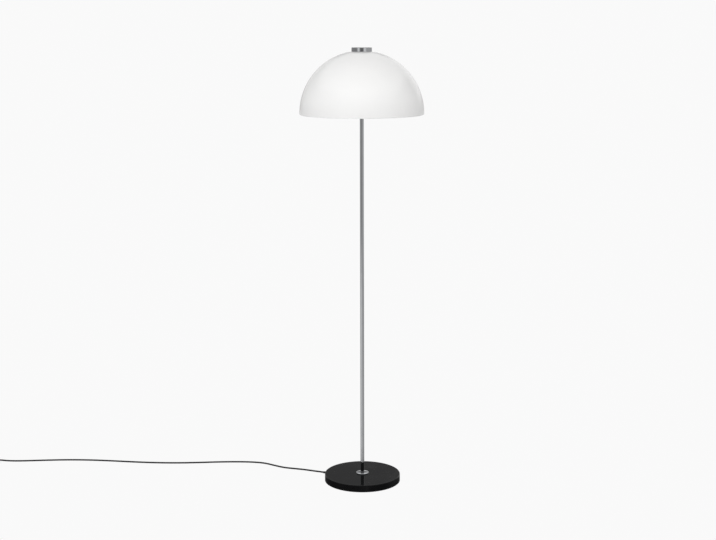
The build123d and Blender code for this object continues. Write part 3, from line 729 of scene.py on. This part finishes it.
# --------------------------------------------------------------- foot switch
sb = ease([
    (0, 0), (SW_R - 1.0, 0), (SW_R, 1.0), (SW_R, 3.0), (SW_R - 0.5, 3.4), (SW_R - 0.5, 8.0), (SW_R, 8.4),
    (SW_R, 9.0), (SW_R - 2, 9.0), (SW_R - 2, 2.0), (0, 2.0)], 0.4, 2)
sw_base = lathe("switch_base", sb, MATS["black_plastic"], segs=128, closed=False, at=SW)
stands_for(sw_base, "stand", "footswitch_base")
sc_out = [(SW_R - 0.2, 9.0), (SW_R, 9.3), (SW_R, 11.5)] + arc(SW_R - 9.5, 12.2, 9.5, 5, 62, 10) + [
    (24.0, 21.2), (21.0, 22.5), (18.6, 23.0), (16.2, 23.0), (15.6, 22.8), (15.35, 22.3),
    (15.35, 21.0), (18.4, 21.0), (23.0, 18.9), (26.5, 16.0), (28.8, 13.2), (29.8, 11.0), (30.0, 9.0)]
sw_cover = lathe("switch_cover", sc_out, MATS["black_plastic"], segs=128, at=SW, sharp=45)
stands_for(sw_cover, "stand", "footswitch_cover")
bt = [(0, 27.1), (2.0, 27.1)]
for k in range(4):
    g = 3.2 + 2.6 * k
    bt += [(g, 27.1), (g + 0.25, 26.7), (g + 0.75, 26.7), (g + 1.0, 27.1)]
bt += arc(13.4, 25.5, 1.6, 82, 0, 7) + [(15.0, 20.9), (17.0, 20.9), (17.0, 18.9), (0, 18.9)]
button = lathe("switch_button_top", bt, MATS["black_button"], segs=96, closed=False, at=SW)
stands_for(button, "switch_button", "footswitch_button")
parts = []
for sgn in (-1, 1):
    bp = [(h, 27.4), (4.3, 27.4), (4.3, 29.5), (3.6, 29.5), (3.6, 32.1), (4.5, 32.1), (4.5, 33.4)]
    s, r = 33.5, 4.25
    while s < SW_PORT - 1.6:
        bp += [(r, s + 0.1), (r, s + 1.1), (r - 0.55, s + 1.2), (r - 0.55, s + 1.6)]
        s += 1.7
        r -= 0.28
    bp += [(3.2, s + 0.1), (3.15, SW_PORT - 0.3), (h, SW_PORT)]
    parts.append(lathe_data(ease(bp, 0.2, 2), 40, True, toward(sw_x, sw_y, SW_Z, 90 - sgn * 90)))
boots = make("switch_boots", parts, MATS["black_pvc"])
stands_for(boots, "stand", "footswitch_boots")


# ---------------------------------------------------------------------- plug
def loft(sections, n=40):
    """Closed skin through rounded-rectangle sections: (x, half width, half height, corner) in mm."""
    verts, faces = [], []
    for x, w, t, c in sections:
        c = min(c, w - 0.01, t - 0.01)
        ring = []
        for q in range(4):
            sx, sz = ((1, 1), (-1, 1), (-1, -1), (1, -1))[q]
            for k in range(n // 4):
                a = math.radians(90 * q + 90 * k / (n // 4 - 1))
                ring.append((sx * (w - c) + c * math.cos(a), sz * (t - c) + c * math.sin(a)))
        for yy, zz in ring:
            verts.append((x, yy, zz))
    m = len(ring)
    for i in range(len(sections) - 1):
        for k in range(m):
            k2 = (k + 1) % m
            faces.append((i * m + k, i * m + k2, (i + 1) * m + k2, (i + 1) * m + k))
    faces.append(tuple(range(m))[::-1])
    faces.append(tuple((len(sections) - 1) * m + k for k in range(m)))
    return verts, faces


def shift(data, x, y, z):
    v, f = data
    return [((p[0] + x) * MM, (p[1] + y) * MM, (p[2] + z) * MM) for p in v], f


body_sections = [
    (15.5, 4.6, 4.6, 4.6), (17.0, 5.4, 5.0, 4.6), (18.6, 8.2, 5.6, 4.4), (20.2, 10.3, 6.2, 4.6), (22.2, 11.4, 6.55, 5.0),
    (25.0, 11.9, 6.7, 5.2), (26.4, 12.1, 6.75, 5.3), (27.0, 11.6, 6.5, 5.2), (28.4, 11.5, 6.45, 5.2), (29.0, 12.0, 6.7, 5.3),
    (30.6, 12.1, 6.75, 5.3), (31.2, 11.6, 6.5, 5.2), (32.6, 11.5, 6.45, 5.2), (33.2, 12.1, 6.7, 5.3), (34.8, 12.3, 6.75, 5.3),
    (35.4, 11.8, 6.5, 5.2), (36.8, 11.8, 6.45, 5.2), (37.4, 12.4, 6.75, 5.4), (42.0, 12.8, 6.8, 5.5), (50.5, 13.0, 6.8, 5.5),
    (52.2, 12.9, 6.7, 5.4), (52.8, 12.5, 6.3, 5.0), (53.0, 12.0, 5.8, 4.6),
]
bt = [(0.3, h), (0.0, 3.2)]
boot_p = [(h, 0.0), (3.1, 0.0), (3.3, 0.6)]
s, r = 0.8, 3.4
while s < 14.0:
    boot_p += [(r, s), (r + 0.1, s + 1.6), (r - 0.5, s + 1.75), (r - 0.5, s + 2.5)]
    s += 2.6
    r += 0.3
boot_p += [(5.1, s), (5.3, 17.5), (0, 17.5), (0, 2.0), (h, 2.0)]
plug = make("plug_moulding", [
    shift(loft(body_sections), PLUG_X0, PLUG_Y, PLUG_Z),
    lathe_data(boot_p, 40, True, toward(PLUG_X0, PLUG_Y, PLUG_Z, 0)),
], MATS["black_plastic"], sharp=40)
stands_for(plug, "stand", "plug_body")
parts = []
for sgn in (-1, 1):
    pin_p = [(0, 0), (1.9, 0), (1.9, 9.8), (2.0, 10.0), (2.0, 17.0)] + arc(0.9, 17.9, 1.1, 0, 90, 4) + [(0, 19.0)]
    parts.append(lathe_data(pin_p, 32, False, toward(PLUG_X0 + 53.0, PLUG_Y + sgn * 9.5, PLUG_Z, 0)))
pins = make("plug_contacts", parts, MATS["nickel"])
stands_for(pins, "stand", "plug_pins")
parts = []
for sgn in (-1, 1):
    sl = [(1.9, 0), (2.0, 0), (2.0, 9.6), (1.9, 9.8)]
    parts.append(lathe_data(sl, 32, True, toward(PLUG_X0 + 53.0, PLUG_Y + sgn * 9.5, PLUG_Z, 0)))
sleeves = make("plug_pin_sleeves", parts, MATS["black_plastic"])
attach(sleeves, "stand")


# ------------------------------------------------------------------ coil tie
def strap():
    """Woven strap wrapped once round the winding, its path closed on its start."""
    w, hh, t = 23.5 / 2 + 0.25, 11.0 / 2, 0.8
    verts, faces = [], []
    path = []
    n = 8
    for q in range(4):
        sx, sz = ((1, 1), (-1, 1), (-1, -1), (1, -1))[q]
        c = 1.9
        for k in range(n + 1):
            a = math.radians(90 * q + 90 * k / n)
            path.append((sx * (w - c) + c * math.cos(a), sz * (hh - c) + c * math.sin(a), math.cos(a), math.sin(a)))
    path.append(path[0])
    half = 4.5
    for px_, pz_, nx, nz in path:
        for off, yy in ((0.0, -half), (0.0, half), (t, half), (t, -half)):
            verts.append((px_ + nx * off, yy, pz_ + nz * off))
    for i in range(len(path) - 1):
        for k in range(4):
            k2 = (k + 1) % 4
            faces.append((i * 4 + k, i * 4 + k2, (i + 1) * 4 + k2, (i + 1) * 4 + k))
    return verts, faces


rm = (TURN_OUT + TURN_IN) / 2
tie = make("coil_strap", [shift(strap(), cx - rm, cy, COIL_Z0 + 5.5)], STRAP)
stands_for(tie, "stand", "coil_tie")

# --------------------------------------------------------------------- stage
fm = bpy.data.materials.new("stage_floor")
fm.use_nodes = True
ft = fm.node_tree
fb = ft.nodes["Principled BSDF"]
fb.inputs["Base Color"].default_value = (0.0, 0.0, 0.0, 1)
fb.inputs["Roughness"].default_value = 0.9
fb.inputs["Specular IOR Level"].default_value = 0.0
fb.inputs["Emission Color"].default_value = (1, 1, 1, 1)
fb.inputs["Emission Strength"].default_value = 0.95
me = bpy.data.meshes.new("stage_floor")
S = 30.0
me.from_pydata([(-S, -S, 0), (S, -S, 0), (S, S, 0), (-S, S, 0)], [], [(0, 1, 2, 3)])
me.materials.append(fm)
floor = bpy.data.objects.new("stage_floor", me)
scene.collection.objects.link(floor)
floor.visible_glossy = False
floor.visible_diffuse = False

world = bpy.data.worlds.new("studio")
scene.world = world
world.use_nodes = True
wt = world.node_tree
for n in list(wt.nodes):
    wt.nodes.remove(n)


def wn(kind, **props):
    n = wt.nodes.new(kind)
    for k, v in props.items():
        setattr(n, k, v)
    return n


def wmath(op, a, b=None):
    n = wn("ShaderNodeMath", operation=op)
    for i, v in enumerate((a, b)):
        if v is None:
            continue
        if isinstance(v, (int, float)):
            n.inputs[i].default_value = v
        else:
            wt.links.new(v, n.inputs[i])
    return n.outputs[0]


co = wn("ShaderNodeTexCoord").outputs["Generated"]
sp = wn("ShaderNodeSeparateXYZ")
wt.links.new(co, sp.inputs[0])
X, Y, Z = sp.outputs
azim = wmath("ADD", wmath("DIVIDE", wmath("ARCTAN2", X, wmath("MULTIPLY", Y, -1.0)), 2 * math.pi), 0.5)
elev = wmath("MULTIPLY", wmath("ARCSINE", Z), 180 / math.pi)


def ramp(stops):
    """Brightness round the room: degrees from the front (right positive) to level."""
    n = wn("ShaderNodeValToRGB")
    r = n.color_ramp
    r.interpolation = "EASE"
    pts = [((d + 180) / 360, v) for d, v in stops]
    r.elements[0].position, r.elements[1].position = pts[0][0], pts[-1][0]
    top = 2.0
    r.elements[0].color = (pts[0][1] / top,) * 3 + (1,)
    r.elements[1].color = (pts[-1][1] / top,) * 3 + (1,)
    for p, v in pts[1:-1]:
        e = r.elements.new(p)
        e.color = (v / top,) * 3 + (1,)
    wt.links.new(azim, n.inputs[0])
    return wmath("MULTIPLY", n.outputs[0], top)


def between(value, lo, hi):
    n = wn("ShaderNodeMapRange")
    n.interpolation_type = "SMOOTHSTEP"
    n.inputs["From Min"].default_value = lo
    n.inputs["From Max"].default_value = hi
    wt.links.new(value, n.inputs["Value"])
    return n.outputs["Result"]


def lerp(t, a, b):
    n = wn("ShaderNodeMix", data_type="FLOAT")
    wt.links.new(t, n.inputs[0])
    for i, v in ((2, a), (3, b)):
        if isinstance(v, (int, float)):
            n.inputs[i].default_value = v
        else:
            wt.links.new(v, n.inputs[i])
    return n.outputs[0]


LEVELS = [
    # elevation where it starts, elevation where it is full, brightness round the room
    (-90.0, -90.0, [(-180, 0.5), (-60, 0.5), (0, 0.4), (60, 0.5), (180, 0.5)]),
    # low dark flats all round
    (-21.2, -19.8, [(-180, 0.12), (-100, 0.05), (0, 0.03), (100, 0.05), (180, 0.12)]),
    # lower room: a lit wall on the left, a dimmer one on the right
    (-18.6, -18.3, [(-180, 0.7), (-90, 0.6), (-40, 1.0), (0, 0.65), (60, 0.5), (180, 0.65)]),
    # upper room: dimmer on the left, lit on the right
    (-12.0, -8.0, [(-180, 0.7), (-90, 0.5), (-40, 0.4), (0, 0.4), (60, 0.65), (180, 0.8)]),
    # eye level: two upright soft boxes in front
    (-3.5, -2.0, [(-180, 0.4), (-60, 0.35), (-35, 1.1), (-10, 0.2), (10, 0.2), (35, 1.1), (60, 0.6), (180, 0.55)]),
    # above: dark in front, lit behind
    (2.0, 5.0, [(-180, 0.8), (-125, 0.25), (-90, 0.06), (90, 0.06), (125, 0.3), (150, 1.0), (180, 1.0)]),
]
SKY = 1.0
env = ramp(LEVELS[0][2])
for start, full, stops in LEVELS[1:]:
    env = lerp(between(elev, start, full), env, ramp(stops))
env = lerp(between(elev, 25.0, 38.0), env, SKY)
# a dark screen behind the lamp, above eye level
behind = wmath("ABSOLUTE", wmath("SUBTRACT", azim, 0.5))
screen = wmath("MULTIPLY", between(behind, 0.462, 0.474), wmath("MULTIPLY", between(elev, 13.5, 15.5), between(elev, 24.5, 22.5)))
env = lerp(screen, env, 0.24)

lp = wn("ShaderNodeLightPath")
bg_cam, bg_glossy, bg_soft = wn("ShaderNodeBackground"), wn("ShaderNodeBackground"), wn("ShaderNodeBackground")
bg_cam.inputs["Color"].default_value = (0.95, 0.95, 0.95, 1)
bg_soft.inputs["Color"].default_value = (0.56, 0.56, 0.564, 1)
wt.links.new(env, bg_glossy.inputs["Strength"])
m1, m2 = wn("ShaderNodeMixShader"), wn("ShaderNodeMixShader")
wt.links.new(lp.outputs["Is Glossy Ray"], m1.inputs[0])
wt.links.new(bg_soft.outputs[0], m1.inputs[1])
wt.links.new(bg_glossy.outputs[0], m1.inputs[2])
wt.links.new(lp.outputs["Is Camera Ray"], m2.inputs[0])
wt.links.new(m1.outputs[0], m2.inputs[1])
wt.links.new(bg_cam.outputs[0], m2.inputs[2])
wo = wn("ShaderNodeOutputWorld")
wt.links.new(m2.outputs[0], wo.inputs[0])


def area(name, loc, aim, size, power):
    d = bpy.data.lights.new(name, "AREA")
    d.shape = "DISK"
    d.size = size
    d.energy = power
    o = bpy.data.objects.new(name, d)
    scene.collection.objects.link(o)
    o.location = loc
    o.rotation_euler = (Vector(aim) - Vector(loc)).to_track_quat("-Z", "Y").to_euler()
    o.visible_glossy = False
    o.visible_camera = False
    return o


area("key", (-1.6, -4.0, 2.3), (0, 0, 1.1), 2.2, 44.0)
area("fill", (2.6, -2.2, 2.2), (0, 0, 1.0), 2.0, 3.0)
area("low_front", (-0.45, -2.4, 0.12), (0, 0, 1.25), 1.2, 14.0)
